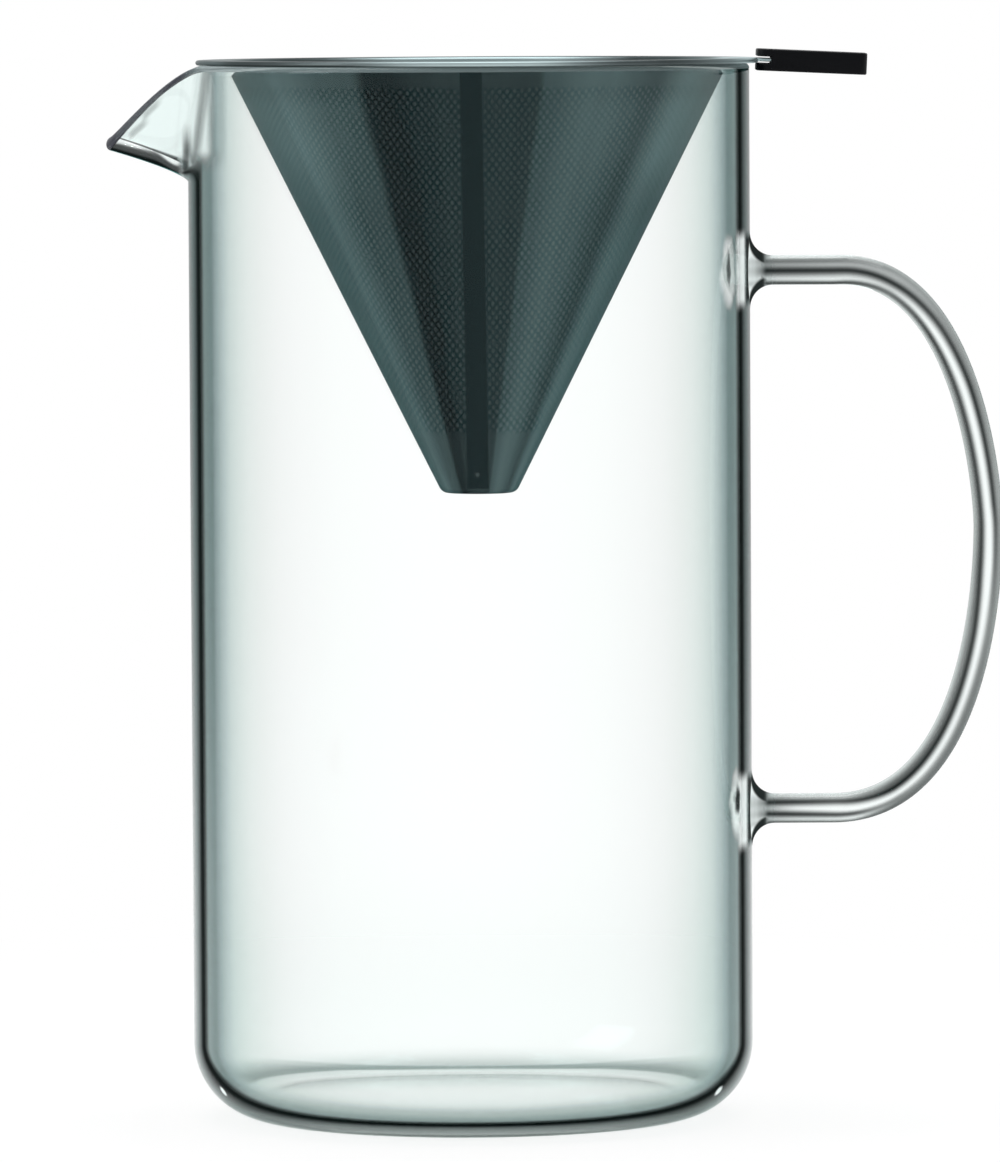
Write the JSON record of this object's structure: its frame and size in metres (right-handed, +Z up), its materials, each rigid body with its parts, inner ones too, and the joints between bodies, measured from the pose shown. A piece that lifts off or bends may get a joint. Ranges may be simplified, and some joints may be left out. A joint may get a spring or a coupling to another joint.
{
  "type": "coffee jug",
  "caption": "Cylindrical clear glass coffee jug with pulled pouring spout, looped rod handle and a lift-out perforated steel cone filter hanging from its rim by a flat flange with a black grip.",
  "frame": {"origin": "centre of the flat underside of the glass base", "axes": "+Z up along the jug's axis, +X towards the handle and grip, -X towards the spout, +Y completes the right-handed frame"},
  "size_m": [0.1762, 0.1108, 0.2104],
  "materials": {
    "clear_glass": "clear fire-polished borosilicate glass with a faint green-grey tint",
    "flange_steel": "satin stainless steel sheet",
    "perforated_steel": "dark grey etched stainless sheet with fine holes, plain margins and a plain lap seam",
    "woven_steel": "dull fine woven stainless mesh",
    "grip_polymer": "satin black heat-proof plastic"
  },
  "bodies": {
    "jug": {"jug_body": "clear_glass", "jug_handle": "clear_glass"},
    "filter": {"filter_flange": "flange_steel", "perforated_cone": "perforated_steel", "mesh_liner": "woven_steel", "tip_cap": "flange_steel", "tab_grip": "grip_polymer"}
  },
  "joints": [
    {"name": "filter_lift", "type": "slide", "parent": "jug", "child": "filter", "axis": [0, 0, 1], "range_m": [0, 0.12]}
  ]
}
